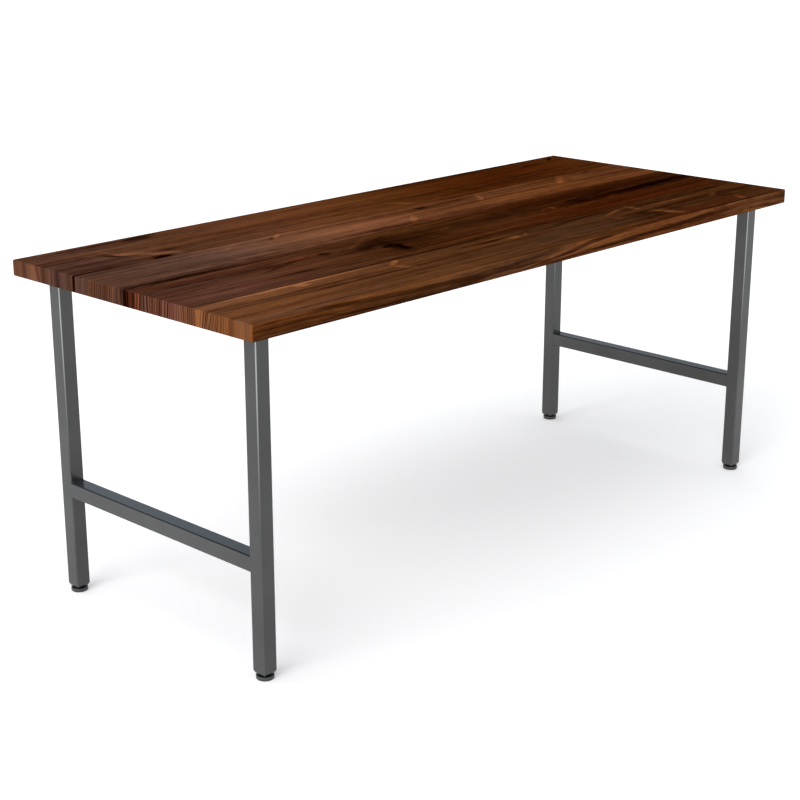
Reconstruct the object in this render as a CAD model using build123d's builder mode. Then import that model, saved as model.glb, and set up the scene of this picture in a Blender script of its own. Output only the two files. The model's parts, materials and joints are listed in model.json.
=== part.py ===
from build123d import *
import os

# A walnut plank desk on two welded steel end frames, standing on four screw-in
# levelling feet. +X runs along the length, -Y is the front and +Z is up. The
# origin is on the floor, under the middle of the top. Lengths are millimetres.

inch = 25.4

# Overall size, a standard sit-down desk in inches
desk_length = 72 * inch
desk_depth = 30 * inch
desk_height = 30 * inch

# Top: four planks, edge glued, listed from the back
top_thickness = 35
edge_ease = 3
rear_board_width = 219
rear_middle_board_width = 155
front_middle_board_width = 216

# End frames: square steel tube, welds ground flush
tube_size = 35
tube_wall = 2
tube_corner = 3
leg_inset = 52
stretcher_height = 248
cope_depth = 2.2

# Flat bars on the leg tops, slotted so that the planks can swell and shrink
bar_width = 80
bar_thickness = 6
slot_width = 9
slot_length = 20
bolts_per_bar = 4
bolt_pitch = 170

# M8 screws through the slots, into threaded inserts in the planks
bolt_diameter = 8
bolt_length = 20
bolt_head_diameter = 14
bolt_head_height = 4.4
bolt_head_round = 2
bolt_tip_chamfer = 1
bolt_socket = 5
bolt_socket_depth = 2.6
washer_diameter = 24
washer_thickness = 2
washer_hole = 8.4
insert_diameter = 12
insert_length = 18
insert_pocket_depth = 20

# Levelling feet: a nylon sole that stands still, and a cup that turns with
# its M10 stud in a nut inside the leg
foot_diameter = 37.4
foot_gap = 2.5
sole_thickness = 4.2
sole_round = 3
cup_thickness = 4.8
cup_round = 0.8
split_chamfer = 0.4
cap_thickness = 9.5
cap_taper_inset = 3.4
cap_taper_rise = 6.5
cap_taper_blend = 8
cap_edge_round = 3
stud_diameter = 10
stud_top = 50
stud_tip_chamfer = 1
flange_diameter = 18
flange_thickness = 2
rivet_neck_diameter = 6
rivet_neck_length = 1.2
rivet_head_diameter = 8
rivet_head_length = 1.1
nut_across_flats = 17
nut_height = 8

# Clearances on the radius, or on each face
thread_clearance = 0.075
rivet_clearance = 0.075
press_clearance = 0.05
rivet_head_clearance = 0.2

# An edge that rises less than this is level
level = 0.01

# Heights that follow from the sizes above
underside = desk_height - top_thickness
leg_top = underside - bar_thickness
foot_top = sole_thickness + cup_thickness
cap_bottom = foot_top + foot_gap
leg_bottom = cap_bottom + cap_thickness

# Leg centres, and the line of bolts along the middle of each bar
leg_x = desk_length / 2 - leg_inset - tube_size / 2
leg_y = desk_depth / 2 - leg_inset - tube_size / 2
bar_x = leg_x + tube_size / 2 - bar_width / 2
bar_length = 2 * leg_y + tube_size
bolt_rows = [(row - (bolts_per_bar - 1) / 2) * bolt_pitch for row in range(bolts_per_bar)]

sides = {"left": -1, "right": 1}
ends = {"front": -1, "back": 1}

os.makedirs("parts", exist_ok=True)


def save(part, label):
    """Label a finished piece and write it to its own STEP file."""
    part.label = label
    export_step(part, f"parts/{label}.step")


def make_board(back_y, front_y):
    """One plank: the strip of the eased top that lies between two seams."""
    rows = [y for y in bolt_rows if front_y < y < back_y]
    with BuildPart() as board:
        with BuildSketch(Plane.XY.offset(underside)):
            Rectangle(desk_length, desk_depth)
        extrude(amount=top_thickness)
        fillet(board.edges(), radius=edge_ease)
        if back_y < desk_depth / 2:
            split(bisect_by=Plane.XZ.offset(-back_y), keep=Keep.TOP)
        if front_y > -desk_depth / 2:
            split(bisect_by=Plane.XZ.offset(-front_y), keep=Keep.BOTTOM)
        with BuildSketch(Plane.XY.offset(underside)):
            with Locations(*[(side * bar_x, y) for side in sides.values() for y in rows]):
                Circle(insert_diameter / 2)
        extrude(amount=insert_pocket_depth, mode=Mode.SUBTRACT)
    return board.part


def make_leg(x, y):
    """A length of square tube, from its foot cap up to the flat bar."""
    inside = tube_size - 2 * tube_wall
    with BuildPart() as leg:
        with BuildSketch(Plane.XY.offset(leg_bottom)):
            with Locations((x, y)):
                RectangleRounded(tube_size, tube_size, tube_corner)
                RectangleRounded(inside, inside, tube_corner - tube_wall, mode=Mode.SUBTRACT)
        extrude(amount=leg_top - leg_bottom)
    return leg.part


def make_stretcher(x):
    """The low rail of one end frame, coped round the corners of both legs."""
    inside = tube_size - 2 * tube_wall
    half_length = leg_y - tube_size / 2 + cope_depth
    with BuildPart() as stretcher:
        with BuildSketch(Plane.XZ):
            with Locations((x, stretcher_height)):
                RectangleRounded(tube_size, tube_size, tube_corner)
                RectangleRounded(inside, inside, tube_corner - tube_wall, mode=Mode.SUBTRACT)
        extrude(amount=half_length, both=True)
        with BuildSketch(Plane.XY.offset(stretcher_height - tube_size)):
            with Locations((x, -leg_y), (x, leg_y)):
                RectangleRounded(tube_size, tube_size, tube_corner)
        extrude(amount=2 * tube_size, mode=Mode.SUBTRACT)
    return stretcher.part


def make_bar(x):
    """The flat bar welded across two leg tops, with four slots across the grain."""
    with BuildPart() as bar:
        with BuildSketch(Plane.XY.offset(leg_top)):
            with Locations((x, 0)):
                RectangleRounded(bar_width, bar_length, tube_corner)
            with Locations(*[(x, y) for y in bolt_rows]):
                SlotOverall(slot_length, slot_width, rotation=90, mode=Mode.SUBTRACT)
        extrude(amount=bar_thickness)
    return bar.part


def make_bolts(x):
    """Four button-head socket screws, heads down, threads up into the top."""
    head_bottom = leg_top - washer_thickness - bolt_head_height
    points = [(x, y) for y in bolt_rows]
    with BuildPart() as bolts:
        with BuildSketch(Plane.XY.offset(head_bottom)):
            with Locations(*points):
                Circle(bolt_head_diameter / 2)
        extrude(amount=bolt_head_height)
        fillet(bolts.edges().group_by(Axis.Z)[0], radius=bolt_head_round)
        with BuildSketch(Plane.XY.offset(head_bottom + bolt_head_height)):
            with Locations(*points):
                Circle(bolt_diameter / 2)
        extrude(amount=bolt_length)
        chamfer(bolts.edges().group_by(Axis.Z)[-1], length=bolt_tip_chamfer)
        with BuildSketch(Plane.XY.offset(head_bottom)):
            with Locations(*points):
                RegularPolygon(bolt_socket / 2, side_count=6, major_radius=False)
        extrude(amount=bolt_socket_depth, mode=Mode.SUBTRACT)
    return bolts.part


def make_washers(x):
    """Four flat washers, wide enough to bridge the slots."""
    with BuildPart() as washers:
        with BuildSketch(Plane.XY.offset(leg_top - washer_thickness)):
            with Locations(*[(x, y) for y in bolt_rows]):
                Circle(washer_diameter / 2)
                Circle(washer_hole / 2, mode=Mode.SUBTRACT)
        extrude(amount=washer_thickness)
    return washers.part


def make_inserts(x):
    """Four threaded inserts, flush with the underside of the planks."""
    with BuildPart() as inserts:
        with BuildSketch(Plane.XY.offset(underside)):
            with Locations(*[(x, y) for y in bolt_rows]):
                Circle(insert_diameter / 2 - press_clearance)
                Circle(bolt_diameter / 2 + thread_clearance, mode=Mode.SUBTRACT)
        extrude(amount=insert_length)
    return inserts.part


def make_foot_cap(x, y):
    """The thick plate that closes a leg, drawn in underneath and bored for the stud."""
    with BuildPart() as cap:
        with BuildSketch(Plane.XY.offset(cap_bottom)):
            with Locations((x, y)):
                Rectangle(tube_size, tube_size)
        extrude(amount=cap_thickness)
        underneath = cap.faces().sort_by(Axis.Z)[0]
        chamfer(underneath.edges(), length=cap_taper_inset, length2=cap_taper_rise, reference=underneath)
        rims = cap.edges().filter_by(lambda edge: edge.bounding_box().size.Z < level)
        fillet(rims.group_by(Axis.Z)[1], radius=cap_taper_blend)
        fillet(cap.faces().sort_by(Axis.Z)[0].edges(), radius=cap_edge_round)
        corner_edges = cap.edges().filter_by(lambda edge: edge.bounding_box().size.Z > level)
        fillet(corner_edges, radius=tube_corner)
        with Locations((x, y, leg_bottom)):
            Hole(stud_diameter / 2 + thread_clearance)
    return cap.part


def make_nut(x, y):
    """The hexagon nut welded on the cap, inside the leg."""
    with BuildPart() as nut:
        with BuildSketch(Plane.XY.offset(leg_bottom)):
            with Locations((x, y)):
                RegularPolygon(nut_across_flats / 2, side_count=6, major_radius=False)
                Circle(stud_diameter / 2 + thread_clearance, mode=Mode.SUBTRACT)
        extrude(amount=nut_height)
    return nut.part


def make_sole(x, y):
    """The nylon sole: it stands on the floor and snaps over the stud's rivet head."""
    head_top = sole_thickness - rivet_neck_length + rivet_head_clearance
    head_bottom = sole_thickness - rivet_neck_length - rivet_head_length - rivet_head_clearance
    with BuildPart() as sole:
        with BuildSketch(Plane.XY):
            with Locations((x, y)):
                Circle(foot_diameter / 2)
        extrude(amount=sole_thickness)
        fillet(sole.edges().group_by(Axis.Z)[0], radius=sole_round)
        chamfer(sole.edges().group_by(Axis.Z)[-1], length=split_chamfer)
        with BuildSketch(Plane.XY.offset(head_bottom)):
            with Locations((x, y)):
                Circle(rivet_head_diameter / 2 + rivet_head_clearance)
        extrude(amount=head_top - head_bottom, mode=Mode.SUBTRACT)
        with BuildSketch(Plane.XY.offset(head_top)):
            with Locations((x, y)):
                Circle(rivet_neck_diameter / 2 + rivet_clearance)
        extrude(amount=sole_thickness - head_top, mode=Mode.SUBTRACT)
    return sole.part


def make_cup(x, y):
    """The round cup that is gripped to turn the foot, recessed under for the flange."""
    with BuildPart() as cup:
        with BuildSketch(Plane.XY.offset(sole_thickness)):
            with Locations((x, y)):
                Circle(foot_diameter / 2)
        extrude(amount=cup_thickness)
        chamfer(cup.edges().group_by(Axis.Z)[0], length=split_chamfer)
        fillet(cup.edges().group_by(Axis.Z)[-1], radius=cup_round)
        with BuildSketch(Plane.XY.offset(sole_thickness)):
            with Locations((x, y)):
                Circle(flange_diameter / 2)
        extrude(amount=flange_thickness, mode=Mode.SUBTRACT)
        with Locations((x, y, foot_top)):
            Hole(stud_diameter / 2 + press_clearance)
    return cup.part


def make_stud(x, y):
    """The M10 stud, with the flange that carries the cup and the rivet for the sole."""
    neck_bottom = sole_thickness - rivet_neck_length
    flange_top = sole_thickness + flange_thickness
    with BuildPart() as stud:
        with BuildSketch(Plane.XY.offset(neck_bottom - rivet_head_length)):
            with Locations((x, y)):
                Circle(rivet_head_diameter / 2)
        extrude(amount=rivet_head_length)
        with BuildSketch(Plane.XY.offset(neck_bottom)):
            with Locations((x, y)):
                Circle(rivet_neck_diameter / 2)
        extrude(amount=rivet_neck_length)
        with BuildSketch(Plane.XY.offset(sole_thickness)):
            with Locations((x, y)):
                Circle(flange_diameter / 2 - press_clearance)
        extrude(amount=flange_thickness)
        with BuildSketch(Plane.XY.offset(flange_top)):
            with Locations((x, y)):
                Circle(stud_diameter / 2)
        extrude(amount=stud_top - flange_top)
        chamfer(stud.edges().group_by(Axis.Z)[-1], length=stud_tip_chamfer)
    return stud.part


# The top: each seam is where one plank ends and the next begins
rear_seam = desk_depth / 2 - rear_board_width
middle_seam = rear_seam - rear_middle_board_width
front_seam = middle_seam - front_middle_board_width
save(make_board(desk_depth / 2, rear_seam), "rear_board")
save(make_board(rear_seam, middle_seam), "rear_middle_board")
save(make_board(middle_seam, front_seam), "front_middle_board")
save(make_board(front_seam, -desk_depth / 2), "front_board")

# The end frames, what holds the top on them, and the feet
for side, x_sign in sides.items():
    save(make_stretcher(x_sign * leg_x), f"{side}_stretcher")
    save(make_bar(x_sign * bar_x), f"{side}_mounting_bar")
    save(make_bolts(x_sign * bar_x), f"{side}_mounting_bolts")
    save(make_washers(x_sign * bar_x), f"{side}_washers")
    save(make_inserts(x_sign * bar_x), f"{side}_threaded_inserts")
    for end, y_sign in ends.items():
        corner = f"{side}_{end}"
        place = (x_sign * leg_x, y_sign * leg_y)
        save(make_leg(*place), f"{corner}_leg")
        save(make_foot_cap(*place), f"{corner}_foot_cap")
        save(make_nut(*place), f"{corner}_weld_nut")
        save(make_sole(*place), f"{corner}_foot_sole")
        save(make_cup(*place), f"{corner}_foot_cup")
        save(make_stud(*place), f"{corner}_foot_stud")
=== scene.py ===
import json
import math

import bmesh
import bpy
from mathutils import Euler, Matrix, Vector


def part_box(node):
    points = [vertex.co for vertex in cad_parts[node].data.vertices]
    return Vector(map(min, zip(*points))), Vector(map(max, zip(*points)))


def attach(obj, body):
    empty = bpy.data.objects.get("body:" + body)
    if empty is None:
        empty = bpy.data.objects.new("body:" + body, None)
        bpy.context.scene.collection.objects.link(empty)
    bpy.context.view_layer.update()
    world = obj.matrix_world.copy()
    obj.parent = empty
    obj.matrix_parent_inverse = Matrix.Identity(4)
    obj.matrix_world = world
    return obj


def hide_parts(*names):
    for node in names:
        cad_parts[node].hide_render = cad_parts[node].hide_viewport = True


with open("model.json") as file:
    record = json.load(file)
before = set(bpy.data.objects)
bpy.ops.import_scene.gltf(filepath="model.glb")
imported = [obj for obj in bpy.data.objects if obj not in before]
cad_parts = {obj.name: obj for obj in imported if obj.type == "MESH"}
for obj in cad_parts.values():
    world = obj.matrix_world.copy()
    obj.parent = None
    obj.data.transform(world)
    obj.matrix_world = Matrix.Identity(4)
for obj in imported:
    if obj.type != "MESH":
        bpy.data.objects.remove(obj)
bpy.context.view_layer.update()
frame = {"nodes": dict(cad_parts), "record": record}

MM = 0.001
RIGHT_ANGLE = math.pi / 2
SIDES = ("left", "right")
CORNERS = [f"{side}_{end}" for side in SIDES for end in ("front", "back")]
BOARDS = ("rear_board", "rear_middle_board", "front_middle_board", "front_board")

TOP_LEFT = min(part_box(board)[0].x for board in BOARDS)
TOP_RIGHT = max(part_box(board)[1].x for board in BOARDS)
TOP_FRONT = min(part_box(board)[0].y for board in BOARDS)
TOP_BACK = max(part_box(board)[1].y for board in BOARDS)
TOP_Z = max(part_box(board)[1].z for board in BOARDS)
TOP_LENGTH = TOP_RIGHT - TOP_LEFT
TOP_THICKNESS = TOP_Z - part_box("front_board")[0].z


# ------------------------ node helpers

def grey(value):
    """A neutral grey. value is linear."""
    return (value, value, value, 1.0)


def linear(colour):
    """A screen colour, 0 to 255, as the linear colour that a shader takes."""
    def channel(value):
        value = value / 255
        if value <= 0.04045:
            return value / 12.92
        return ((value + 0.055) / 1.055) ** 2.4
    return tuple(channel(value) for value in colour) + (1.0,)


class Nodes:
    """Builds a node tree. A value is a socket, a plain number or a tuple."""

    def __init__(self, tree):
        self.nodes = tree.nodes
        self.links = tree.links
        self.nodes.clear()
        self.coordinates = self.node("ShaderNodeTexCoord").outputs

    def node(self, kind, **settings):
        made = self.nodes.new(kind)
        for key, value in settings.items():
            setattr(made, key, value)
        return made

    def put(self, socket, value):
        if isinstance(value, bpy.types.NodeSocket):
            self.links.new(value, socket)
        else:
            socket.default_value = value

    def math(self, operation, *values):
        made = self.node("ShaderNodeMath", operation=operation)
        for socket, value in zip(made.inputs, values):
            self.put(socket, value)
        return made.outputs[0]

    def total(self, *values):
        """The sum of two or more values."""
        result = values[0]
        for value in values[1:]:
            result = self.math("ADD", result, value)
        return result

    def product(self, a, b):
        return self.math("MULTIPLY", a, b)

    def gap(self, a, b):
        """How far apart two values are."""
        return self.math("ABSOLUTE", self.math("SUBTRACT", a, b))

    def vector(self, x, y, z):
        made = self.node("ShaderNodeCombineXYZ")
        for socket, value in zip(made.inputs, (x, y, z)):
            self.put(socket, value)
        return made.outputs[0]

    def parts(self, vector):
        """A vector's x, y and z."""
        made = self.node("ShaderNodeSeparateXYZ")
        self.put(made.inputs[0], vector)
        return tuple(made.outputs)

    def vector_math(self, operation, *vectors, output="Vector"):
        made = self.node("ShaderNodeVectorMath", operation=operation)
        for socket, vector in zip(made.inputs, vectors):
            self.put(socket, vector)
        return made.outputs[output]

    def noise(self, vector, scale=1.0, detail=2.0, roughness=0.5, output="Fac"):
        made = self.node("ShaderNodeTexNoise")
        self.put(made.inputs["Vector"], vector)
        made.inputs["Scale"].default_value = scale
        made.inputs["Detail"].default_value = detail
        made.inputs["Roughness"].default_value = roughness
        return made.outputs[output]

    def remap(self, value, low, high, to_low=0.0, to_high=1.0):
        """A smooth step: to_low up to low, to_high from high on."""
        made = self.node("ShaderNodeMapRange", interpolation_type="SMOOTHSTEP")
        for socket, number in zip(made.inputs, (value, low, high, to_low, to_high)):
            self.put(socket, number)
        return made.outputs[0]

    def centred(self, value, amount):
        """A noise value of 0 to 1 as an offset of -amount/2 to amount/2."""
        return self.product(self.math("SUBTRACT", value, 0.5), amount)

    def ramp(self, value, stops, smooth=True):
        """A colour for a value of 0 to 1. stops are (position, colour)."""
        made = self.node("ShaderNodeValToRGB")
        made.color_ramp.interpolation = "EASE" if smooth else "LINEAR"
        elements = made.color_ramp.elements
        while len(elements) < len(stops):
            elements.new(0.5)
        for element, (position, colour) in zip(elements, stops):
            element.position = position
            element.color = colour
        self.put(made.inputs[0], value)
        return made.outputs[0]

    def curve(self, value, points):
        """A smooth curve through points of (value, result), all from 0 to 1."""
        made = self.node("ShaderNodeFloatCurve")
        line = made.mapping.curves[0]
        while len(line.points) < len(points):
            line.points.new(0.5, 0.5)
        for point, place in zip(line.points, points):
            point.location = place
        made.mapping.update()
        self.put(made.inputs["Value"], value)
        return made.outputs[0]

    def blend(self, factor, a, b, kind="MIX"):
        """Colour a with b mixed or multiplied in by the factor."""
        made = self.node("ShaderNodeMix", data_type="RGBA", blend_type=kind)
        colour_a, colour_b, colour_out = 6, 7, 2
        self.put(made.inputs["Factor"], factor)
        self.put(made.inputs[colour_a], a)
        self.put(made.inputs[colour_b], b)
        return made.outputs[colour_out]


class Graph(Nodes):
    """One material's nodes, round a Principled shader. Its place is in the shared frame's
    metres, since every object's origin is the frame's."""

    def __init__(self, name):
        self.material = bpy.data.materials.new(name)
        self.material.use_nodes = True
        super().__init__(self.material.node_tree)
        self.place = self.coordinates["Object"]
        self.normal = self.coordinates["Normal"]
        self.shader = self.node("ShaderNodeBsdfPrincipled")
        output = self.node("ShaderNodeOutputMaterial")
        self.put(output.inputs["Surface"], self.shader.outputs["BSDF"])

    def bump(self, height, distance, strength):
        """Relief on the surface. distance is in metres for a height of 1."""
        made = self.node("ShaderNodeBump")
        made.inputs["Strength"].default_value = strength
        made.inputs["Distance"].default_value = distance
        self.put(made.inputs["Height"], height)
        self.put(self.shader.inputs["Normal"], made.outputs[0])

    def set(self, **values):
        """Sets the shader's own sockets: base_color for Base Color, and so on."""
        for key, value in values.items():
            self.put(self.shader.inputs[key.replace("_", " ").title()], value)


# ------------------------ walnut

# what a mark multiplies the wood's colour by
TINTS = {
    "black": (0.20, 0.13, 0.12, 1.0),
    "dark": (0.50, 0.42, 0.38, 1.0),
    "deep": (0.70, 0.62, 0.58, 1.0),
    "light": (1.80, 1.78, 1.70, 1.0),
    "bright": (2.70, 2.65, 2.45, 1.0),
    "pale": (1.25, 1.24, 1.22, 1.0),
    "grey": (0.86, 0.95, 1.15, 1.0),
    "red": (1.18, 0.86, 0.74, 1.0),
    "pink": (1.30, 1.22, 1.42, 1.0),
    "gold": (1.50, 1.32, 0.95, 1.0),
}


class Walnut(Graph):
    """One plank's wood. u, v and w run right from the top's left end, forward from its
    back edge and down from its upper face, in metres, the same on all four planks. wave and
    bow set how far the grain wanders and arches, in metres."""

    def __init__(self, name, seed, wave, bow):
        super().__init__(name)
        x, y, z = self.parts(self.place)
        normal_x, normal_y, normal_z = self.parts(self.normal)
        self.seed = seed
        self.u = self.math("SUBTRACT", x, TOP_LEFT)
        self.v = self.math("SUBTRACT", TOP_BACK, y)
        self.w = self.math("SUBTRACT", TOP_Z, z)
        self.part_along = self.math("DIVIDE", self.u, TOP_LENGTH)

        # where a point is: on the end grain, a side, the front or an eased edge
        self.on_end = self.remap(self.math("ABSOLUTE", normal_x), 0.5, 0.9)
        on_side = self.remap(self.math("ABSOLUTE", normal_y), 0.5, 0.9)
        self.on_front = self.remap(self.product(normal_y, -1.0), 0.3, 0.8)
        top_edge = self.product(normal_z, self.product(normal_y, -1.0))
        upright_edge = self.math("ABSOLUTE", self.product(normal_x, normal_y))
        self.on_edge = self.remap(self.math("MAXIMUM", top_edge, upright_edge), 0.15, 0.4)

        # grain is v, but wavy: along a grain line it stays the same
        quick_wave = 0.012
        arch_middle = 0.45
        side_slope = 0.9
        end_slope = 1.3
        slow = self.noise(self.vector(self.u, self.product(self.v, 2.4), seed),
                          scale=1.3, detail=1.0)
        quick = self.noise(self.vector(self.u, self.product(self.v, 3.0), seed + 7.3),
                           scale=7.0, detail=2.0)
        offset = self.math("SUBTRACT", self.part_along, arch_middle)
        arch = self.product(self.product(offset, offset), bow)
        depth_shift = self.product(self.product(self.w, on_side), side_slope)
        lean = self.noise(self.vector(0.0, self.v, seed + 4.4), scale=13.0, detail=1.0)
        end_lean = self.product(self.product(self.w, self.on_end), self.centred(lean, end_slope))
        self.grain = self.total(self.v, self.centred(slow, wave), self.centred(quick, quick_wave),
                                arch, depth_shift, end_lean)

        # the end grain has clear upright lines in the middle planks and is calm beyond them
        from_back = self.remap(self.v, 0.22, 0.29, 0.15, 1.0)
        to_front = self.remap(self.v, 0.61, 0.72, 1.0, 0.2)
        self.end_lined = self.product(self.on_end, self.product(from_back, to_front))
        self.calm = self.math("SUBTRACT", 1.0, self.math("SUBTRACT", self.on_end, self.end_lined))

        # flat is (u, v) with an irregular shift, which keeps the marks from being true ellipses
        middle_of_noise = (0.5, 0.5, 0.5)
        shift_size = (0.026, 0.008, 0.0)
        wander = self.noise(self.vector(self.u, self.product(self.v, 2.0), seed + 3.1),
                            scale=16.0, detail=3.0, output="Color")
        off_middle = self.vector_math("SUBTRACT", wander, middle_of_noise)
        shift = self.vector_math("MULTIPLY", off_middle, shift_size)
        self.flat = self.vector_math("ADD", self.vector(self.u, self.v, 0.0), shift)

    def spread(self, x, y, half_length, half_width, angle):
        """How far a point is from a mark's middle, 1 at its rim. Lengths are in mm."""
        made = self.node("ShaderNodeMapping", vector_type="TEXTURE")
        made.inputs["Location"].default_value = (x * MM, y * MM, 0.0)
        made.inputs["Rotation"].default_value = (0.0, 0.0, math.radians(angle))
        made.inputs["Scale"].default_value = (half_length * MM, half_width * MM, 1.0)
        self.put(made.inputs["Vector"], self.flat)
        return self.vector_math("LENGTH", made.outputs[0], output="Value")

    def flow_round(self, x, y, half_length, half_width, angle):
        """The grain lines part round a knot and close again beyond it."""
        reach_along = 3.2
        reach_across = 1.9
        full_pull = 0.85
        spread = self.spread(x, y, half_length * reach_along, half_width * reach_across, angle)
        near = self.remap(spread, 0.15, 1.0, 1.0, 0.0)
        pull = self.product(near, full_pull)
        away = self.math("SUBTRACT", y * MM, self.grain)
        self.grain = self.math("MULTIPLY_ADD", away, pull, self.grain)

    def lines(self, stretch, density, detail, roughness, shift):
        """Noise drawn out along the grain: density across it and stretch along it, per metre.
        shift keeps one set of lines from repeating another."""
        place = self.vector(self.product(self.u, stretch), self.product(self.grain, density),
                            self.seed + shift)
        return self.noise(place, detail=detail, roughness=roughness)

    def tone_and_sheen_ramp(self, tones):
        """The plank's colour along its length, from screen colours at even steps. These hold a
        painted sheen as well as the wood's tone: lighter and bluer towards the top's left end.
        """
        steps = len(tones)
        stops = [((i + 0.5) / steps, linear(tone)) for i, tone in enumerate(tones)]
        return self.ramp(self.part_along, stops, smooth=False)

    def draw_grain(self, tones, front_tones=None, contrast=1.0):
        """Sets self.colour from the plank's tones and its streaks, rings and fibres."""
        # the tones are partly painted sheen and light, lighter and bluer towards the left end
        base = self.tone_and_sheen_ramp(tones)
        if front_tones:
            base = self.blend(self.on_front, base, self.tone_and_sheen_ramp(front_tones))
        self.broad = self.lines(stretch=0.9, density=24.0, detail=2.0, roughness=0.5, shift=1.7)
        self.streak = self.lines(stretch=2.3, density=95.0, detail=4.0, roughness=0.62, shift=5.9)
        self.fibre = self.lines(stretch=11.0, density=390.0, detail=4.0, roughness=0.65, shift=9.4)
        self.mottle = self.lines(stretch=26.0, density=75.0, detail=3.0, roughness=0.6, shift=15.2)

        rings_per_metre = 115.0
        ring_wobble = 1.6
        late_wood_sharpness = 5.0
        ring_place = self.math("ADD", self.product(self.grain, rings_per_metre),
                               self.centred(self.streak, ring_wobble))
        ring = self.math("FRACT", ring_place)
        late_wood = self.math("POWER", ring, late_wood_sharpness)

        end_radians_per_metre = 900.0
        end_wobble = 26.0
        end_depth = 0.25
        end_phase = self.total(self.product(self.grain, end_radians_per_metre),
                               self.centred(self.broad, end_wobble))
        end_wave = self.math("SINE", end_phase)
        end_lines = self.product(self.product(end_wave, end_depth), self.end_lined)

        middle_tone = 0.525
        broad_depth = 0.80 * contrast
        streak_depth = 0.95 * contrast
        fibre_depth = 0.70
        mottle_depth = 0.40
        late_wood_depth = -0.22 * contrast
        calmest = 0.35
        grain_lines = self.total(self.centred(self.streak, streak_depth),
                                 self.centred(self.fibre, fibre_depth),
                                 self.product(late_wood, late_wood_depth))
        shown_lines = self.product(grain_lines, self.remap(self.calm, 0.0, 1.0, calmest))
        value = self.total(middle_tone, self.centred(self.broad, broad_depth), shown_lines,
                           self.centred(self.mottle, mottle_depth), end_lines)

        # a factor of 0 to 2 on the plank's tone, so that 0.5 in the ramp leaves it as it is
        figure = self.ramp(value, [(0.12, (0.12, 0.085, 0.075, 1.0)),
                                   (0.34, (0.33, 0.30, 0.285, 1.0)),
                                   (0.50, grey(0.50)),
                                   (0.68, (0.68, 0.675, 0.65, 1.0)),
                                   (0.90, (0.92, 0.90, 0.84, 1.0))], smooth=False)
        doubled = self.vector_math("MULTIPLY", figure, (2.0, 2.0, 2.0))
        warm_lines = self.lines(stretch=1.4, density=30.0, detail=2.0, roughness=0.5, shift=31.9)
        warmth = self.ramp(warm_lines,
                           [(0.35, (1.0, 0.93, 0.80, 1.0)), (0.65, (0.95, 0.96, 1.0, 1.0))])
        self.colour = self.blend(1.0, self.blend(1.0, base, doubled, "MULTIPLY"), warmth, "MULTIPLY")

    def tint(self, mask, tint):
        """Multiplies the colour by one of TINTS where the mask is 1."""
        self.colour = self.blend(mask, self.colour, TINTS[tint], "MULTIPLY")

    def mark(self, tint, x, y, half_length, half_width, angle=0.0, strength=1.0, soft=0.75):
        """A patch of one tint whose rim is broken up by the grain. soft is how much of the
        way in from the rim it fades over."""
        streaky = 0.8
        mottled = 0.9
        outward = 0.35
        spread = self.spread(x, y, half_length, half_width, angle)
        ragged = self.total(spread, self.centred(self.streak, streaky),
                            self.centred(self.mottle, mottled))
        mask = self.remap(ragged, 1.0 - soft, 1.0 + soft * outward, strength, 0.0)
        self.tint(mask, tint)

    def knot(self, x, y, half_length, half_width, angle=0.0):
        """A knot: a black heart with rings in it, and a halo where the grain is crushed."""
        fibrous = 0.3
        mottled = 0.5
        halo_rim = 2.1
        halo_strength = 0.75
        ring_count = 3.5
        spread = self.spread(x, y, half_length, half_width, angle)
        ragged = self.total(spread, self.centred(self.fibre, fibrous),
                            self.centred(self.mottle, mottled))
        self.tint(self.remap(ragged, 1.0, halo_rim, halo_strength, 0.0), "dark")
        core = self.remap(ragged, 0.75, 1.05, 1.0, 0.0)
        rings = self.math("FRACT", self.product(ragged, ring_count))
        fill = self.blend(rings, TINTS["black"], TINTS["deep"])
        self.colour = self.blend(core, self.colour, fill, "MULTIPLY")

    def front_band(self, tint, points, half_width, strength=0.9):
        """A wave of the grain on the front face. points are (along, depth below the top) in
        mm. The curve holds depths from one thickness above the top to one below it."""
        solid_part = 0.35
        wobble_size = 6 * MM
        fade = 0.035
        fade_outside = 0.4 * fade
        scaled = [(x * MM / TOP_LENGTH, 0.5 + 0.5 * depth * MM / TOP_THICKNESS)
                  for x, depth in points]
        first, last = scaled[0][0], scaled[-1][0]
        height = self.curve(self.part_along, scaled)
        depth = self.product(self.math("SUBTRACT", height, 0.5), 2 * TOP_THICKNESS)
        wobble = self.centred(self.streak, wobble_size)
        off = self.math("ABSOLUTE", self.total(self.math("SUBTRACT", self.w, depth), wobble))
        mask = self.remap(off, half_width * solid_part * MM, half_width * MM, strength, 0.0)
        begins = self.remap(self.part_along, first - fade_outside, first + fade)
        ends = self.remap(self.part_along, last - fade, last + fade_outside, 1.0, 0.0)
        shown = self.product(self.product(mask, self.on_front), self.product(begins, ends))
        self.tint(shown, tint)

    def stripe(self, tint, middle, half_width, strength, shown):
        """A stripe round v = middle, where the mask shown lets it through. Lengths are in mm."""
        solid_part = 0.4
        off = self.gap(self.v, middle * MM)
        mask = self.remap(off, half_width * solid_part * MM, half_width * MM, strength, 0.0)
        self.tint(self.product(mask, shown), tint)

    def end_band(self, tint, middle, half_width, strength=0.8):
        """An upright stripe on the end grain. Lengths are in mm from the back edge."""
        self.stripe(tint, middle, half_width, strength, self.on_end)

    def open_seam(self, edge, reach, half_width):
        """A dark line along a seam that fades out from the left end. Lengths are in mm."""
        dark_part = 0.4
        fade = self.remap(self.u, reach * dark_part * MM, reach * MM, 1.0, 0.0)
        self.stripe("black", edge, half_width, 1.0, fade)

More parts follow.
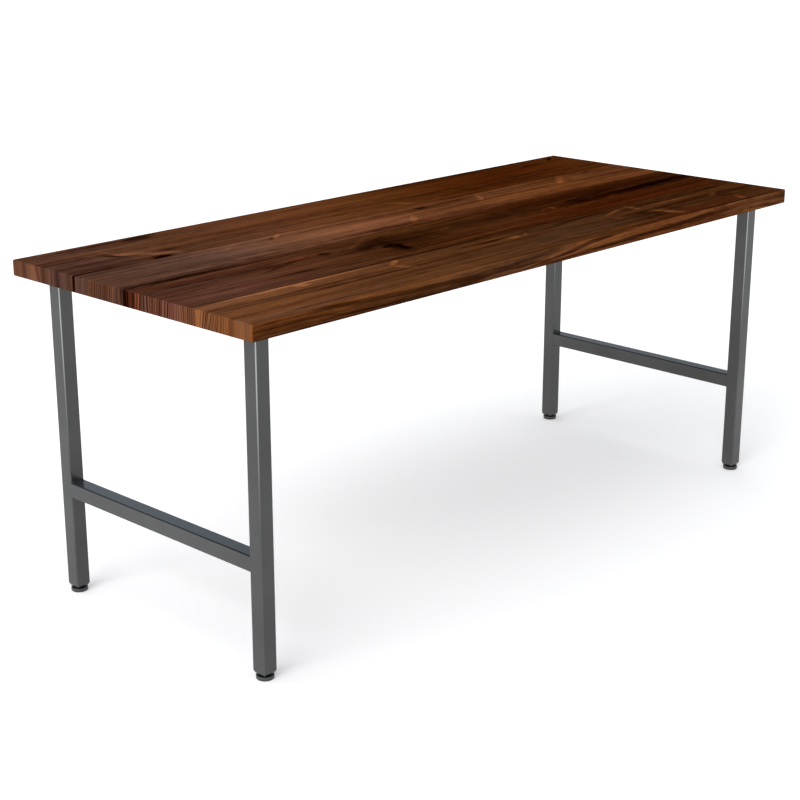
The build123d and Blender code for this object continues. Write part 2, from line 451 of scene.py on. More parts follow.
    def seam(self, edge, strength):
        """The thin dark glue line along an edge, which comes and goes. edge is v in metres."""
        solid_half_width = 0.25 * MM
        faded_half_width = 1.1 * MM
        faintest = 0.35
        off = self.gap(self.v, edge)
        patches = self.lines(stretch=1.1, density=3.0, detail=1.0, roughness=0.5, shift=edge * 50)
        shown = self.remap(patches, 0.35, 0.6, faintest, 1.0)
        across = self.remap(off, solid_half_width, faded_half_width, strength, 0.0)
        self.tint(self.product(across, shown), "black")

    def done(self):
        """Adds the pores, the lighter eased edges (partly wear, partly a painted highlight), the
        oil's even sheen and the relief.
        """
        pores_along, pores_across, pores_down = 55.0, 1500.0, 1300.0
        pore_depth = 0.5
        wear_and_highlight = 0.55
        pores = self.noise(self.vector(self.product(self.u, pores_along),
                                       self.product(self.grain, pores_across),
                                       self.product(self.w, pores_down)), detail=1.0)
        open_pore = self.remap(pores, 0.60, 0.72)
        faint = self.product(open_pore, pore_depth)
        colour = self.blend(faint, self.colour, TINTS["dark"], "MULTIPLY")
        # lighter eased edges: partly wear, partly a painted highlight
        worn_and_highlight = self.product(self.on_edge, wear_and_highlight)
        colour = self.blend(worn_and_highlight, colour, TINTS["gold"], "MULTIPLY")
        self.set(base_color=colour)

        oiled_roughness = 0.47
        rougher_fibre = 0.16
        rougher_end = 0.16
        rougher_pore = 0.12
        matt = self.total(oiled_roughness, self.centred(self.fibre, rougher_fibre),
                          self.product(self.on_end, rougher_end),
                          self.product(open_pore, rougher_pore))
        self.set(roughness=matt)
        self.shader.inputs["Specular IOR Level"].default_value = 0.0

        pore_relief = -0.9
        streak_relief = 0.5
        height = self.total(self.fibre, self.product(open_pore, pore_relief),
                            self.product(self.streak, streak_relief))
        self.bump(height, distance=0.18 * MM, strength=0.55)
        return self.material


def rear_board_wood():
    wood = Walnut("walnut_brown", seed=2.0, wave=0.050, bow=0.05)
    mark, end_band = wood.mark, wood.end_band
    wood.flow_round(236, 214, 20, 14, 0)
    wood.flow_round(1777, 26, 38, 18, -30)
    wood.draw_grain([(87, 57, 43), (86, 54, 35), (93, 56, 36), (93, 54, 29),
                     (84, 46, 19), (72, 35, 10), (68, 33, 9), (73, 38, 13)], contrast=0.95)
    # the left end
    mark("grey", 70, 165, 140, 60)
    mark("deep", 75, 165, 120, 50, strength=0.7)
    mark("pale", 150, 78, 190, 20)
    mark("dark", 190, 22, 150, 14)
    mark("black", 320, 22, 56, 21, -10, strength=0.9)
    mark("deep", 90, 108, 100, 7)
    # the pale swirl and its dark strokes
    mark("pale", 228, 163, 92, 30, 36, soft=0.4)
    mark("light", 268, 186, 60, 10, 36, strength=0.6, soft=0.4)
    mark("light", 212, 153, 82, 13, 40, strength=0.65, soft=0.5)
    mark("light", 172, 86, 22, 7, 80, strength=0.4, soft=0.5)
    mark("dark", 218, 178, 60, 5, 38, strength=0.8)
    mark("dark", 160, 122, 40, 14, 62)
    mark("black", 166, 134, 24, 9, 45, strength=0.8)
    # the knot below the swirl, and the bluish patch to its right
    for _ in range(2):
        mark("grey", 282, 210, 36, 10, -8, soft=0.4)
    mark("grey", 282, 211, 30, 8, -8, soft=0.4)
    mark("light", 284, 211, 30, 6, -8, strength=0.6, soft=0.4)
    mark("dark", 300, 168, 42, 15, 30, strength=0.8)
    mark("gold", 309, 176, 16, 9, 20)
    wood.knot(231, 211, 25, 15, -15)
    mark("black", 234, 212, 28, 9, -12, soft=0.5)
    mark("red", 206, 208, 12, 8)
    # the middle and the right
    mark("light", 1012, 174, 44, 11, 48, strength=0.9, soft=0.6)
    mark("dark", 1000, 105, 36, 6, -5, strength=0.7)
    mark("pale", 700, 140, 420, 12, 1)
    mark("pale", 560, 92, 330, 8)
    mark("pale", 850, 75, 300, 10)
    mark("dark", 1500, 142, 210, 9, -2)
    mark("black", 1657, 60, 56, 8, strength=0.8)
    mark("deep", 1330, 175, 260, 22, strength=0.8)
    mark("deep", 820, 213, 330, 6)
    mark("dark", 1180, 213, 140, 5)
    mark("black", 1560, 8, 230, 9, strength=0.65)
    mark("red", 1520, 100, 320, 70, strength=0.6)
    mark("black", 1765, 32, 34, 8, -33)
    mark("gold", 1785, 28, 36, 9, -40)
    # the open seam at the left end, and the end grain
    mark("deep", 70, 200, 160, 13)
    wood.open_seam(217, 210, 8)
    end_band("black", 217.5, 4.5)
    end_band("light", 84, 30, 0.35)
    end_band("pale", 60, 55, 0.2)
    end_band("dark", 232, 8, 0.3)
    end_band("deep", 40, 7, 0.7)
    end_band("deep", 165, 8, 0.6)
    end_band("deep", 118, 7)
    end_band("grey", 170, 50, 0.8)
    return wood


def rear_middle_board_wood():
    wood = Walnut("walnut_light", seed=5.5, wave=0.034, bow=0.03)
    mark, end_band = wood.mark, wood.end_band
    wood.flow_round(1001, 251, 16, 9, 0)
    wood.draw_grain([(85, 57, 44), (98, 66, 50), (102, 66, 46), (102, 63, 41),
                     (102, 61, 36), (104, 63, 36), (98, 57, 29), (98, 57, 31)])
    # greyer on the left and lighter on the right
    mark("grey", 240, 300, 300, 60, strength=0.8)
    mark("light", 760, 300, 260, 42, strength=0.5)
    mark("light", 1420, 305, 300, 22, strength=0.55)
    # the light curls and the dark strokes beside them
    mark("light", 545, 232, 34, 6, -37)
    mark("dark", 520, 246, 30, 7, -48, strength=0.8)
    mark("pale", 400, 240, 60, 8, -30)
    mark("light", 895, 325, 44, 10, -45, strength=0.7, soft=0.5)
    mark("light", 875, 318, 22, 6, 30, strength=0.6)
    mark("light", 915, 345, 20, 6, 10, strength=0.6)
    mark("light", 1204, 262, 46, 8, -52, soft=0.5)
    mark("light", 1530, 259, 60, 13, -38, soft=0.6)
    mark("light", 1590, 252, 66, 8, 6, strength=0.7)
    mark("pale", 1560, 275, 90, 14, -20)
    mark("dark", 1552, 278, 30, 10, -5, strength=0.8)
    mark("dark", 1515, 236, 60, 6, -3)
    mark("dark", 1690, 233, 70, 6)
    mark("deep", 1110, 248, 60, 10)
    mark("pale", 330, 308, 240, 5, 1)
    # darker towards the front seam
    mark("deep", 200, 365, 260, 8)
    mark("deep", 800, 358, 130, 16)
    mark("deep", 1000, 352, 820, 20, strength=0.8)
    mark("deep", 1250, 355, 650, 22, strength=0.7)
    mark("dark", 1300, 369, 600, 13, strength=0.7)
    # the small knot, the open seam at the left end, and the end grain
    wood.knot(1001, 251, 17, 8)
    wood.open_seam(219, 210, 3)
    end_band("deep", 305, 80, 0.85)
    end_band("grey", 245, 30, 0.8)
    end_band("deep", 322, 9, 0.6)
    end_band("pale", 350, 4)
    end_band("dark", 372, 4, 0.6)
    return wood


def front_middle_board_wood():
    wood = Walnut("walnut_dark", seed=9.1, wave=0.062, bow=0.09)
    mark, end_band = wood.mark, wood.end_band
    wood.flow_round(652, 495, 24, 36, 10)
    wood.flow_round(1204, 476, 34, 20, 0)
    wood.flow_round(486, 436, 22, 13, 0)
    wood.draw_grain([(79, 50, 37), (76, 45, 29), (71, 41, 22), (68, 38, 16),
                     (71, 39, 18), (62, 30, 9), (64, 30, 10), (61, 29, 10)], contrast=1.15)
    # the left end: a black streak along the seam, and purplish stripes in front of it
    mark("black", 110, 383, 180, 9)
    mark("black", 60, 397, 80, 5, strength=0.8)
    mark("dark", 330, 392, 330, 6)
    mark("red", 120, 420, 240, 22, strength=0.5)
    mark("deep", 150, 425, 240, 14)
    mark("dark", 140, 440, 170, 4)
    mark("pink", 150, 452, 230, 7)
    mark("pink", 130, 530, 210, 52, strength=0.75)
    mark("deep", 60, 490, 90, 7)
    mark("pale", 360, 405, 330, 7, -1)
    # the strokes and curls round the large knot
    mark("black", 350, 525, 78, 5, 3, strength=0.9)
    mark("dark", 330, 468, 60, 7, -12)
    mark("light", 405, 432, 52, 10, -8, strength=0.8, soft=0.6)
    mark("red", 430, 438, 60, 14, -8)
    mark("black", 492, 441, 24, 9, 5, strength=0.7)
    mark("dark", 330, 455, 120, 4, -4)
    mark("light", 520, 452, 40, 4, -20, strength=0.6)
    mark("light", 610, 420, 85, 7, -28, strength=0.75)
    mark("dark", 488, 440, 24, 14, strength=0.9)
    mark("dark", 640, 440, 120, 20, -20, strength=0.8)
    mark("dark", 690, 485, 150, 90, strength=0.85)
    mark("light", 860, 455, 30, 8, -15, strength=0.7)
    mark("light", 860, 396, 240, 6, -4, strength=0.7)
    mark("pale", 1000, 384, 800, 9)
    mark("pale", 560, 560, 300, 16)
    # the large knot
    wood.knot(655, 506, 17, 34, 12)
    mark("black", 662, 512, 9, 30, 22, soft=0.5)
    mark("black", 640, 488, 22, 7, -20, soft=0.5)
    # the right half: red in front, and a long black streak with a bright knot at its start
    mark("red", 1250, 545, 620, 42, strength=0.8)
    mark("pale", 1450, 545, 420, 30, strength=0.7)
    mark("deep", 1300, 405, 500, 28)
    mark("black", 1545, 470, 340, 33, -1, strength=0.9)
    mark("black", 1720, 458, 200, 22, strength=0.8)
    mark("black", 1340, 482, 110, 14, strength=0.7)
    mark("dark", 1390, 448, 140, 12, -6)
    mark("dark", 1010, 470, 190, 26, strength=0.7)
    mark("gold", 1395, 472, 80, 4, -3)
    mark("black", 1185, 478, 48, 22, 0, strength=0.6)
    mark("bright", 1198, 476, 32, 9, -12, strength=0.9, soft=0.6)
    mark("bright", 1226, 478, 9, 14, 20, strength=0.9, soft=0.5)
    mark("gold", 1190, 486, 30, 6, 12)
    # the end grain
    end_band("black", 388, 13, 0.85)
    end_band("red", 402, 20)
    end_band("dark", 402, 22, 0.7)
    end_band("black", 411, 5, 0.7)
    end_band("gold", 426, 12, 0.7)
    end_band("pale", 460, 22)
    end_band("grey", 450, 22, 0.8)
    end_band("dark", 474, 4, 0.7)
    end_band("dark", 496, 4, 0.7)
    end_band("pink", 500, 60, 0.5)
    end_band("light", 562, 30, 0.45)
    return wood


def front_board_wood():
    wood = Walnut("walnut_tan", seed=13.4, wave=0.042, bow=-0.05)
    mark, end_band, front_band = wood.mark, wood.end_band, wood.front_band
    wood.flow_round(1380, 615, 20, 13, 0)
    wood.flow_round(820, 619, 60, 12, 0)
    wood.draw_grain([(99, 63, 41), (91, 56, 33), (83, 50, 27), (74, 44, 22),
                     (73, 44, 25), (70, 41, 21), (69, 40, 20), (71, 42, 21)],
                    [(88, 51, 26), (84, 50, 25), (88, 55, 32), (90, 58, 38),
                     (94, 58, 35), (98, 57, 31), (96, 57, 32), (113, 74, 47)], contrast=1.1)
    # the left half: a bright line along the seam, and two curls in front of it
    mark("light", 270, 599, 270, 7, strength=0.8)
    mark("bright", 260, 596, 280, 3, strength=0.6)
    mark("light", 270, 610, 24, 11, 8, soft=0.5)
    mark("bright", 535, 606, 30, 8, -35, strength=0.8, soft=0.5)
    mark("light", 526, 648, 28, 12, 55, soft=0.5)
    mark("deep", 170, 640, 260, 5, 1)
    mark("gold", 130, 690, 220, 36, strength=0.5)
    mark("pale", 120, 733, 260, 13, strength=0.8)
    mark("deep", 300, 742, 260, 7)
    mark("deep", 560, 616, 70, 6, strength=0.8)
    # the long black eye in its bright rim
    mark("bright", 822, 619, 100, 17, strength=0.6)
    mark("black", 806, 619, 82, 12, strength=0.9)
    mark("bright", 905, 627, 22, 8, strength=0.9)
    mark("bright", 945, 624, 14, 7, -20, strength=0.9)
    mark("light", 860, 606, 60, 4, -5)
    # the right half
    mark("dark", 1020, 622, 130, 8, -2)
    mark("pale", 700, 642, 260, 4)
    mark("pale", 950, 630, 90, 5, -8)
    mark("bright", 1290, 618, 70, 5, -14, strength=0.9)
    mark("gold", 1290, 620, 60, 4, 10)
    mark("dark", 1180, 604, 120, 5, -3)
    mark("grey", 1160, 690, 250, 62, strength=0.6)
    mark("pale", 1060, 700, 150, 26, strength=0.5)
    mark("dark", 1330, 628, 90, 7, -6)
    mark("bright", 1358, 622, 14, 22, -20, soft=0.5)
    mark("bright", 1495, 634, 120, 6, 1)
    mark("light", 1238, 668, 18, 12, soft=0.5)
    mark("dark", 1340, 690, 30, 60, -25, strength=0.7)
    mark("dark", 1425, 690, 34, 50, -25, strength=0.6)
    mark("bright", 1388, 708, 48, 13, 62, soft=0.4)
    mark("bright", 1646, 660, 34, 8, -20, strength=0.7, soft=0.5)
    mark("bright", 1664, 730, 26, 11, -60, strength=0.7, soft=0.5)
    mark("gold", 1600, 640, 200, 4, -4)
    mark("red", 1480, 735, 330, 24, -1)
    mark("deep", 1300, 700, 60, 50)
    mark("dark", 1700, 608, 70, 10)
    mark("deep", 1660, 690, 60, 12)
    mark("dark", 1560, 757, 150, 4)
    mark("gold", 1100, 745, 190, 7, -3)
    mark("grey", 930, 700, 40, 60, strength=0.7)
    # the end grain
    end_band("deep", 597, 3)
    end_band("gold", 607, 8, 0.4)
    end_band("gold", 694, 5, 0.6)
    end_band("gold", 756, 6, 0.6)
    # the front edge, from left to right
    front_band("light", [(-40, 5), (200, 4), (500, 5), (760, 8), (900, 16)], 9, 0.3)
    front_band("dark", [(120, -3), (190, 3), (260, 8), (400, 14), (560, 17), (660, 21)], 7.5)
    front_band("black", [(150, 0), (200, 4), (270, 8)], 4, 0.6)
    front_band("dark", [(-40, 17), (60, 17), (170, 18), (250, 26), (430, 29), (640, 31)], 2.6)
    front_band("black", [(-40, 34), (250, 33), (640, 34)], 3.0, 0.6)
    front_band("grey", [(660, 20), (760, 14), (860, 7), (960, 0)], 9)
    front_band("dark", [(680, 19), (760, 12), (850, 5), (930, -2)], 6, 0.75)
    front_band("light", [(740, 29), (850, 19), (930, 12), (1010, 0)], 5, 0.8)
    front_band("dark", [(700, 34), (790, 29), (880, 22), (950, 16)], 3.0, 0.8)
    front_band("dark", [(890, 20), (960, 14), (1020, 7), (1100, 2), (1200, -4)], 6.5)
    front_band("light", [(860, 30), (960, 20), (1050, 12), (1180, 5)], 3.5, 0.7)
    front_band("light", [(900, 29), (1050, 20), (1180, 12), (1450, 5), (1900, 5)], 9, 0.45)
    front_band("black", [(830, 34), (1000, 27), (1200, 22), (1380, 18), (1450, 15)], 6.0, 0.75)
    front_band("dark", [(1400, 18), (1500, 12), (1600, 10), (1720, 13), (1900, 17)], 8, 0.9)
    front_band("light", [(1180, 34), (1400, 29), (1600, 26), (1900, 30)], 6, 0.35)
    return wood


WOODS = {
    "rear_board": rear_board_wood,
    "rear_middle_board": rear_middle_board_wood,
    "front_middle_board": front_middle_board_wood,
    "front_board": front_board_wood,
}


def finish_boards():
    seam_strength = 0.85
    for board, make_wood in WOODS.items():
        wood = make_wood()
        low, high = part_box(board)
        for edge_y in (low.y, high.y):
            if TOP_FRONT < edge_y < TOP_BACK:
                wood.seam(TOP_BACK - edge_y, seam_strength)
        use_material(frame["nodes"][board], wood.done())


# ------------------------ other materials

# near black, painted as shade: on the undersides of the upright steel parts and on the tops of the
# foot's plastic parts
PAINTED_SHADE = grey(0.006)


def use_material(thing, material):
    if thing.data.materials:
        for index in range(len(thing.data.materials)):
            thing.data.materials[index] = material
    else:
        thing.data.materials.append(material)


def powder_coat(name, along_z):
    """Satin dark grey with orange peel and slight clouding. An upright tube has a painted highlight
    on its corners, strongest near the top, and painted shade on its underside. A level tube has a
    painted bluish sky reflection on top and a painted dark reflection on its left and right upper
    corners."""
    corner_highlight = grey(0.40)
    sky_reflection = (0.066, 0.079, 0.088, 1.0)
    dark_reflection = (0.010, 0.013, 0.015, 1.0)
    highlight_from, highlight_to = 0.30, 0.74
    coat = Graph(name)
    cloud = coat.noise(coat.place, scale=7.0, detail=3.0)
    speck = coat.noise(coat.place, scale=900.0, detail=1.0)
    tone = coat.total(coat.product(cloud, 0.7), coat.product(speck, 0.3))
    colour = coat.ramp(tone, [(0.30, (0.0565, 0.0562, 0.0558, 1.0)),
                              (0.70, (0.0745, 0.0742, 0.0738, 1.0))])
    normal_x, normal_y, normal_z = coat.parts(coat.normal)
    _, _, height = coat.parts(coat.place)
    if along_z:
        # painted highlight along the upright corners, strongest near the top and fading downwards
        slant = coat.math("ABSOLUTE", coat.product(normal_x, normal_y))
        on_corner = coat.remap(slant, 0.16, 0.46)
        highlight_by_height = coat.remap(height, highlight_from, highlight_to, 0.05, 1.0)
        painted_highlight = coat.product(on_corner, highlight_by_height)
        colour = coat.blend(painted_highlight, colour, corner_highlight)
        # painted shade on the undersides
        shaded_underside = coat.remap(normal_z, -0.9, -0.5, 1.0, 0.0)
        colour = coat.blend(shaded_underside, colour, PAINTED_SHADE)
    else:
        # painted bluish sky reflection on the up-facing faces
        reflects_sky = coat.remap(normal_z, 0.75, 0.95)
        colour = coat.blend(reflects_sky, colour, sky_reflection)
        # painted dark reflection of the desk's underside on the upper corners
        slant = coat.product(normal_z, coat.math("ABSOLUTE", normal_x))
        on_corner = coat.remap(slant, 0.12, 0.40)
        colour = coat.blend(on_corner, colour, dark_reflection)
    peel = coat.noise(coat.place, scale=420.0, detail=2.0, roughness=0.4)
    sheen = coat.total(0.23, coat.centred(cloud, 0.06), coat.centred(speck, 0.04))
    coat.set(base_color=colour, metallic=0.55, roughness=sheen)
    coat.bump(peel, distance=0.04 * MM, strength=0.6)
    return coat.material


def worked_metal(name, tones, cloud_scale, lines_per_metre, line_detail, roughness, uneven,
                 relief, metallic=1.0):
    """Metal with a cloudy cast, and fine lines from brushing or from a lathe with an upright
    axis."""
    metal = Graph(name)
    cloud = metal.noise(metal.place, scale=cloud_scale, detail=3.0)
    lines = metal.noise(metal.vector_math("MULTIPLY", metal.place, lines_per_metre),
                        detail=line_detail)
    metal.set(base_color=metal.ramp(cloud, tones), metallic=metallic,
              roughness=metal.total(roughness, metal.centred(lines, uneven)))
    metal.bump(lines, distance=relief, strength=0.5)
    return metal.material


def zinc():
    """Bright zinc plate with a faint blue and straw cast."""
    tones = [(0.3, (0.40, 0.42, 0.45, 1.0)), (0.7, (0.55, 0.54, 0.50, 1.0))]
    return worked_metal("zinc_plated_steel", tones, cloud_scale=60.0,
                        lines_per_metre=(900.0, 900.0, 4000.0), line_detail=2.0,
                        roughness=0.34, uneven=0.2, relief=0.02 * MM)


def black_oxide():
    """Black oxide, oiled: almost black, and a little lighter where it is worn."""
    tones = [(0.35, (0.020, 0.020, 0.022, 1.0)), (0.75, (0.065, 0.064, 0.062, 1.0))]
    return worked_metal("black_oxide_steel", tones, cloud_scale=160.0,
                        lines_per_metre=(500.0, 500.0, 5000.0), line_detail=2.0,
                        roughness=0.42, uneven=0.2, relief=0.02 * MM, metallic=0.8)


def brass():
    """Turned brass, tarnished in patches."""
    tones = [(0.3, (0.42, 0.28, 0.11, 1.0)), (0.7, (0.66, 0.49, 0.23, 1.0))]
    return worked_metal("brass", tones, cloud_scale=120.0,
                        lines_per_metre=(40.0, 40.0, 6000.0), line_detail=1.0,
                        roughness=0.30, uneven=0.16, relief=0.03 * MM)


def moulded(name, dark, light, roughness, grain_scale):
    """Moulded plastic: a fine spark-eroded texture, an uneven tone and painted shade on top, where
    the gap under the leg is dark.
    """
    plastic = Graph(name)
    cloud = plastic.noise(plastic.place, scale=45.0, detail=3.0)
    grain = plastic.noise(plastic.place, scale=grain_scale, detail=2.0, roughness=0.6)
    tone = plastic.total(plastic.product(cloud, 0.6), plastic.product(grain, 0.4))
    colour = plastic.ramp(tone, [(0.3, dark), (0.7, light)])
    _, _, normal_z = plastic.parts(plastic.normal)
    # painted shade on the top faces, for the dark gap under the leg
    shaded_top = plastic.remap(normal_z, 0.85, 0.98)
    colour = plastic.blend(shaded_top, colour, PAINTED_SHADE)
    sheen = plastic.total(roughness, plastic.centred(grain, 0.14))
    plastic.set(base_color=colour, roughness=sheen)
    plastic.bump(grain, distance=0.06 * MM, strength=0.6)
    return plastic.material


# ------------------------ pieces

def add_object(name, data):
    made = bpy.data.objects.new(name, data)
    bpy.context.scene.collection.objects.link(made)
    return made


def add_mesh(name, build, material):
    """A new object from a finished bmesh."""
    mesh = bpy.data.meshes.new(name)
    build.to_mesh(mesh)
    build.free()
    made = add_object(name, mesh)
    use_material(made, material)
    return made


def new_piece(name, build, material, body):
    """A new piece that rides on a body, with its faces turned outwards."""
    bmesh.ops.recalc_face_normals(build, faces=build.faces)
    piece = add_mesh(name, build, material)
    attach(piece, body)
    return piece


def ring_of_vertices(build, centre, z, radius_at, sides):
    """A level ring round an upright axis. radius_at gives the radius at an angle."""
    ring = []
    for step in range(sides):
        angle = 2 * math.pi * step / sides
        radius = radius_at(angle)
        ring.append(build.verts.new((centre.x + radius * math.cos(angle),
                                     centre.y + radius * math.sin(angle), z)))
    return ring


def join_rings(build, rings):
    for lower, upper in zip(rings, rings[1:]):
        sides = len(lower)
        for i in range(sides):
            after = (i + 1) % sides
            face = build.faces.new((lower[i], lower[after], upper[after], upper[i]))
            face.smooth = True


def close_ring(build, ring, facing_up):
    build.faces.new(ring if facing_up else list(reversed(ring)))


PITCH = 1.5 * MM
THREAD_SIDES = 36
ROWS_PER_PITCH = 6


def threaded_stud(corner, material):
    """The foot's M10 stud with a real right-hand thread on the CAD stud's axis: the riveted
    head under the sole, the neck, the flange above it and the rod up to its chamfered end."""
    node = f"{corner}_foot_stud"
    low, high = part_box(node)
    centre = (low + high) / 2
    flange_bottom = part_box(f"{corner}_foot_sole")[1].z
    flange_top = flange_bottom + 2.0 * MM
    flange_radius = (high.x - low.x) / 2
    rod_radius = 5.0 * MM
    thread_depth = 0.92 * MM
    chamfer = 1.0 * MM
    neck_radius = 3.0 * MM
    head_radius = 4.0 * MM
    head_top = low.z + 1.1 * MM
    rim = 0.3 * MM
    root_width = 0.15           # of half a pitch, the flat at the bottom of the thread
    flank_width = 0.72          # of half a pitch, its slope

    build = bmesh.new()
    profile = [(low.z, head_radius - rim), (low.z + rim, head_radius), (head_top, head_radius),
               (head_top, neck_radius), (flange_bottom, neck_radius),
               (flange_bottom, flange_radius - rim), (flange_bottom + rim, flange_radius),
               (flange_top - rim, flange_radius), (flange_top, flange_radius - rim)]
    rings = [ring_of_vertices(build, centre, z, lambda angle, r=radius: r, THREAD_SIDES)
             for z, radius in profile]
    rows = math.ceil((high.z - flange_top) / PITCH * ROWS_PER_PITCH)
    for row in range(rows + 1):
        z = flange_top + (high.z - flange_top) * row / rows
        cut = min(1.0, (z - flange_top) / PITCH)
        end = max(0.0, z - (high.z - chamfer))

        def radius_at(angle, z=z, cut=cut, end=end):
            phase = (z / PITCH - angle / (2 * math.pi)) % 1.0
            from_root = abs(2 * phase - 1)
            crest = min(1.0, max(0.0, (from_root - root_width) / flank_width))
            return min(rod_radius - thread_depth * cut * (1 - crest), rod_radius - end)

        rings.append(ring_of_vertices(build, centre, z, radius_at, THREAD_SIDES))
    join_rings(build, rings)
    close_ring(build, rings[0], facing_up=False)
    close_ring(build, rings[-1], facing_up=True)
    stud = new_piece(f"{corner}_threaded_stud", build, material, f"{corner}_screw")
    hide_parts(node)
    return stud


def weld_bead(build, start, end, out_a, out_b, size):
    """A small ground weld in the inside corner that runs from start to end. out_a and
    out_b point away from the corner along its two faces."""
    steps_along = 24
    steps_round = 6
    sunk = 0.4 * MM
    run_in = 4 * MM
    size_at_end = 0.35
    bulge = 0.16
    rows = []
    for i in range(steps_along + 1):
        part = i / steps_along
        from_end = min(part, 1 - part) * (end - start).length
        swell = min(1.0, size_at_end + from_end / run_in * (1 - size_at_end))
        slow_ripple = 0.05 * math.sin(part * 9.3 * math.pi)
        fast_ripple = 0.03 * math.sin(part * 23.0 * math.pi)
        reach = size * swell * (1 + slow_ripple + fast_ripple)
        base = start.lerp(end, part)
        row = [build.verts.new(base - (out_a + out_b) * sunk)]
        for j in range(steps_round + 1):
            turn = RIGHT_ANGLE * j / steps_round
            along_a = reach * (1 - math.sin(turn))
            along_b = reach * (1 - math.cos(turn))
            lift = bulge * reach * math.sin(2 * turn)
            skin = out_a * (along_a + lift) + out_b * (along_b + lift)
            if j == 0:
                skin -= out_b * sunk
            if j == steps_round:
                skin -= out_a * sunk
            row.append(build.verts.new(base + skin))
        rows.append(row)
    for row, after in zip(rows, rows[1:]):
        count = len(row)
        for j in range(count):
            k = (j + 1) % count
            face = build.faces.new((row[j], row[k], after[k], after[j]))
            face.smooth = True
    build.faces.new(rows[0])
    build.faces.new(list(reversed(rows[-1])))


def stretcher_welds(side, material):
    """Welds in the corners above and below the stretcher, where it meets the two legs."""
    size = 3.6 * MM
    inset = 2.2 * MM
    up = Vector((0, 0, 1))
    low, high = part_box(f"{side}_stretcher")
    build = bmesh.new()
    for end in ("front", "back"):
        leg_low, leg_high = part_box(f"{side}_{end}_leg")
        inward = Vector((0, 1, 0)) if end == "front" else Vector((0, -1, 0))
        face_y = leg_high.y if end == "front" else leg_low.y
        for z, out in ((high.z, up), (low.z, -up)):
            start = Vector((leg_low.x + inset, face_y, z))
            finish = Vector((leg_high.x - inset, face_y, z))
            weld_bead(build, start, finish, inward, out, size)
    return new_piece(f"{side}_stretcher_welds", build, material, "desk")


def bar_welds(corner, material):
    """Welds round the top of a leg, under its mounting bar, on the sides that the bar covers."""
    side, end = corner.split("_")
    size = 3.2 * MM
    inset = 3.0 * MM
    down = Vector((0, 0, -1))
    leg_low, leg_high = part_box(f"{corner}_leg")
    z = leg_high.z
    build = bmesh.new()
    rightward = Vector((1, 0, 0))
    backward = Vector((0, 1, 0))
    inner_y = leg_high.y if end == "front" else leg_low.y
    inner_x = leg_high.x if side == "left" else leg_low.x
    toward_y = backward if end == "front" else -backward
    toward_x = rightward if side == "left" else -rightward
    weld_bead(build, Vector((leg_low.x + inset, inner_y, z)),
              Vector((leg_high.x - inset, inner_y, z)), toward_y, down, size)
    weld_bead(build, Vector((inner_x, leg_low.y + inset, z)),
              Vector((inner_x, leg_high.y - inset, z)), toward_x, down, size)
    return new_piece(f"{corner}_bar_welds", build, material, "desk")


# ------------------------ stage

def make_floor():
    """A white paper floor, wide enough for its far edge never to show."""
    reach = 150.0
    build = bmesh.new()
    bmesh.ops.create_grid(build, x_segments=8, y_segments=8, size=reach)
    paper = Graph("floor_white")
    cloud = paper.noise(paper.place, scale=0.9, detail=3.0)
    colour = paper.ramp(cloud, [(0.3, grey(0.90)), (0.7, grey(0.93))])
    paper.set(base_color=colour, roughness=0.9)
    paper.shader.inputs["Specular IOR Level"].default_value = 0.0
    paper.shader.inputs["Emission Color"].default_value = grey(1.0)
    paper.shader.inputs["Emission Strength"].default_value = 0.25
    floor = add_mesh("floor", build, paper.material)


def make_world():
    """A soft studio: dim and slightly blue near the horizon, bright overhead, and stronger
    from the left and the back."""
    middle_strength = 0.88
    stronger_towards = (-0.35, 0.30, 0.0)
    world = bpy.data.worlds.new("studio")
    bpy.context.scene.world = world
    world.use_nodes = True
    sky = Nodes(world.node_tree)
    direction = sky.coordinates["Generated"]
    _, _, height = sky.parts(direction)
    colour = sky.ramp(height, [(0.0, (0.52, 0.58, 0.65, 1.0)), (0.35, (0.52, 0.57, 0.63, 1.0)),
                               (0.7, (0.95, 0.96, 0.98, 1.0)), (1.0, grey(1.0))])
    lean = sky.vector_math("DOT_PRODUCT", direction, stronger_towards, output="Value")
    background = sky.node("ShaderNodeBackground")
    sky.put(background.inputs["Color"], colour)
    sky.put(background.inputs["Strength"], sky.total(lean, middle_strength))
    output = sky.node("ShaderNodeOutputWorld")
    sky.put(output.inputs["Surface"], background.outputs[0])


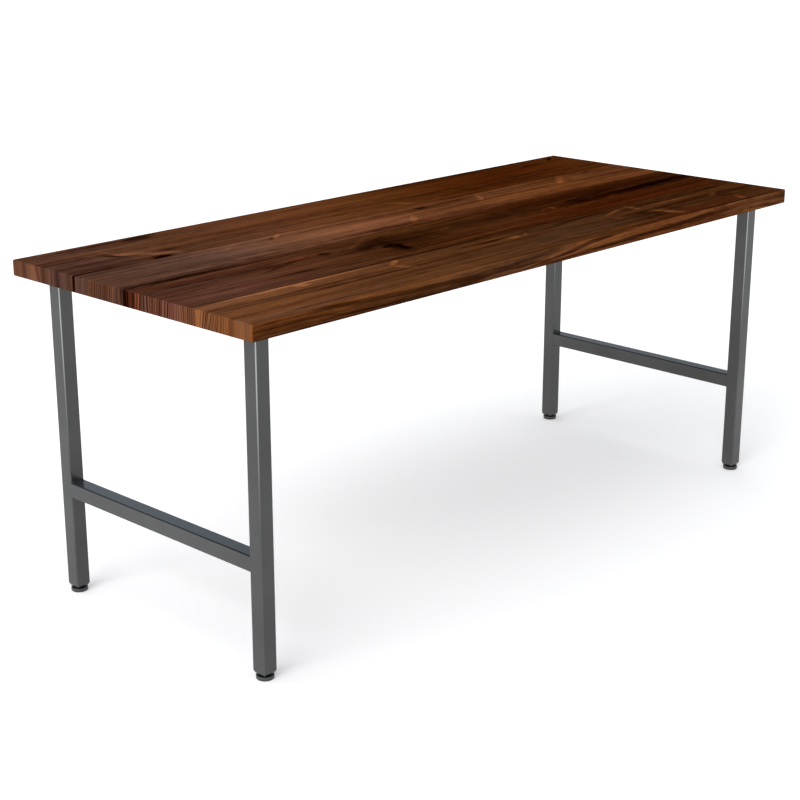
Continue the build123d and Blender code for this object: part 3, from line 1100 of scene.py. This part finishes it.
def make_sun(name, source, width, strength):
    """A very wide, soft sun. source points to it from the desk, and width is in degrees."""
    lamp = bpy.data.lights.new(name, "SUN")
    lamp.angle = math.radians(width)
    lamp.energy = strength
    holder = add_object(name, lamp)
    holder.rotation_mode = "QUATERNION"
    holder.rotation_quaternion = (-Vector(source)).to_track_quat("-Z", "Y")


def make_camera():
    """The photograph's viewpoint: its place, its heading from +Y towards +X and its downward
    tilt come from a fit of the top's corners and the legs' edges."""
    place = Vector((-2.85234, -2.59547, 1.56031))
    heading = 0.81031
    tilt = 0.31097
    lens = bpy.data.cameras.new("photo_camera")
    lens.sensor_width = 36.0
    lens.lens = 75.17
    lens.clip_end = 500.0
    camera = add_object("photo_camera", lens)
    camera.location = place
    camera.rotation_euler = Euler((RIGHT_ANGLE - tilt, 0.0, -heading), "XYZ")
    bpy.context.scene.camera = camera


# ------------------------ the scene

make_camera()
make_world()
make_floor()
make_sun("key", source=(-0.88, -0.18, 0.46), width=50.0, strength=2.1)
bpy.context.scene.view_settings.view_transform = "Standard"

# two copies of one coat that differ in painted light: painted highlight and shade on the upright
# one, painted reflections on the level one
coat = powder_coat("grey_powder_coat", along_z=True)
level_coat = powder_coat("grey_powder_coat_level", along_z=False)
black_steel = black_oxide()
FINISHES = {
    "grey_powder_coat": coat,
    "zinc_plated_steel": zinc(),
    "black_oxide_steel": black_steel,
    "brass": brass(),
    "foot_cup_grey": moulded("foot_cup_grey", dark=grey(0.038), light=grey(0.056),
                             roughness=0.42, grain_scale=1500.0),
    "foot_sole_nylon": moulded("foot_sole_nylon", dark=grey(0.028), light=grey(0.041),
                               roughness=0.55, grain_scale=1900.0),
}
for subpart in frame["record"]["subparts"]:
    if subpart["material_slot"] in FINISHES:
        use_material(frame["nodes"][subpart["node"]], FINISHES[subpart["material_slot"]])
finish_boards()

for corner in CORNERS:
    threaded_stud(corner, black_steel)
    bar_welds(corner, level_coat)
for side in SIDES:
    use_material(frame["nodes"][f"{side}_stretcher"], level_coat)
    stretcher_welds(side, level_coat)
